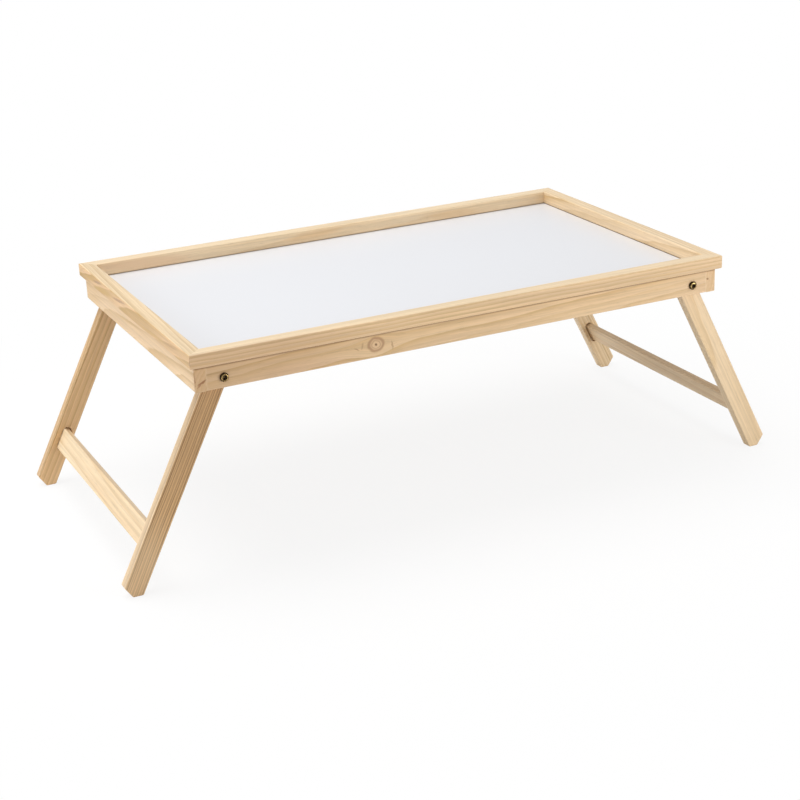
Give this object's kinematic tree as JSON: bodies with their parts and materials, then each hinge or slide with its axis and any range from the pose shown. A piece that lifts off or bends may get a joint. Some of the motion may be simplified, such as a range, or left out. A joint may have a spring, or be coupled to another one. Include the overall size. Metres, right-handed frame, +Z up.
{
  "type": "bed tray table",
  "caption": "Low wooden bed tray with a white laminate top inside a raised rim and two pairs of splayed legs that fold up flat beneath it.",
  "frame": {"origin": "on the floor, below the middle of the tray", "axes": "+X along the tray to its right end, +Y to the back, +Z up"},
  "size_m": [0.63, 0.3, 0.2],
  "materials": {
    "panel": "white satin laminate on thin fibreboard",
    "rim_pine": "clear satin lacquer on pine",
    "apron_pine": "clear satin lacquer on pine",
    "leg_pine": "clear satin lacquer on pine",
    "stretcher_pine": "clear satin lacquer on pine",
    "screw_brass": "dark antique brass",
    "washer_steel": "zinc plated",
    "nut_steel": "zinc plated",
    "dowel_beech": "bare beech"
  },
  "bodies": {
    "tray": {"tray_panel": "panel", "rim_front": "rim_pine", "rim_back": "rim_pine", "rim_left": "rim_pine", "rim_right": "rim_pine", "apron_front": "apron_pine", "apron_back": "apron_pine", "apron_left": "apron_pine", "apron_right": "apron_pine", "pivot_screws": "screw_brass", "spacer_washers": "washer_steel", "inner_washers": "washer_steel", "pivot_nuts": "nut_steel", "corner_dowels": "dowel_beech"},
    "left_legs": {"leg_left_front": "leg_pine", "leg_left_back": "leg_pine", "stretcher_left": "stretcher_pine"},
    "right_legs": {"leg_right_front": "leg_pine", "leg_right_back": "leg_pine", "stretcher_right": "stretcher_pine"}
  },
  "joints": [
    {"name": "left_legs_fold", "type": "hinge", "parent": "tray", "child": "left_legs", "pos_m": [-0.22145, 0, 0.176], "axis": [0, -1, 0], "range_deg": [0, 116.7]},
    {"name": "right_legs_fold", "type": "hinge", "parent": "tray", "child": "right_legs", "pos_m": [0.22145, 0, 0.176], "axis": [0, 1, 0], "range_deg": [0, 116.7]}
  ]
}
